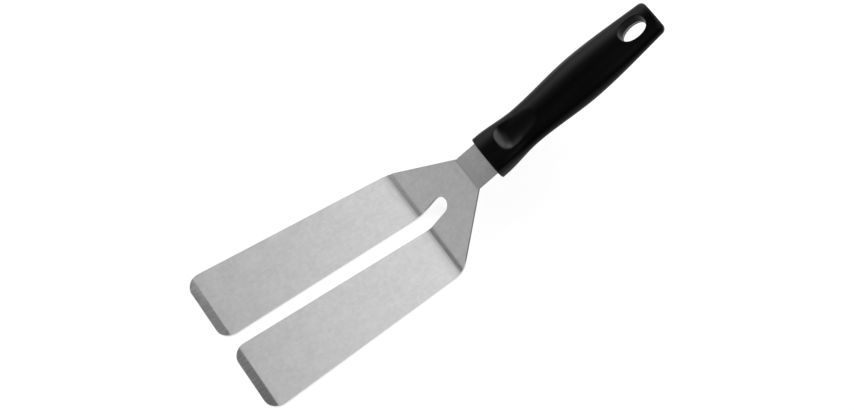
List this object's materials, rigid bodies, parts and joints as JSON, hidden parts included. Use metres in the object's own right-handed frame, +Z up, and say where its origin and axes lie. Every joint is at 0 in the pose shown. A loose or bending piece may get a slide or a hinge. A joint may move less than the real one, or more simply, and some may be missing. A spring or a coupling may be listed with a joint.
{
  "type": "panini spatula",
  "caption": "Long flat spatula with twin stainless tines parted by a tapering slot, a cranked shoulder and neck, and a black moulded handle with a thumb rest and a hanging hole.",
  "frame": {"origin": "on the underside of the tines, below the middle of the overall length", "axes": "+X from the front edge towards the handle, +Z up, away from the surface that the tines lie on"},
  "size_m": [0.2972, 0.0986, 0.0727],
  "materials": {
    "steel": "satin, ground across the front bevel",
    "grip": "black, fine satin"
  },
  "bodies": {
    "root": {"blade": "steel", "handle": "grip"}
  },
  "joints": []
}
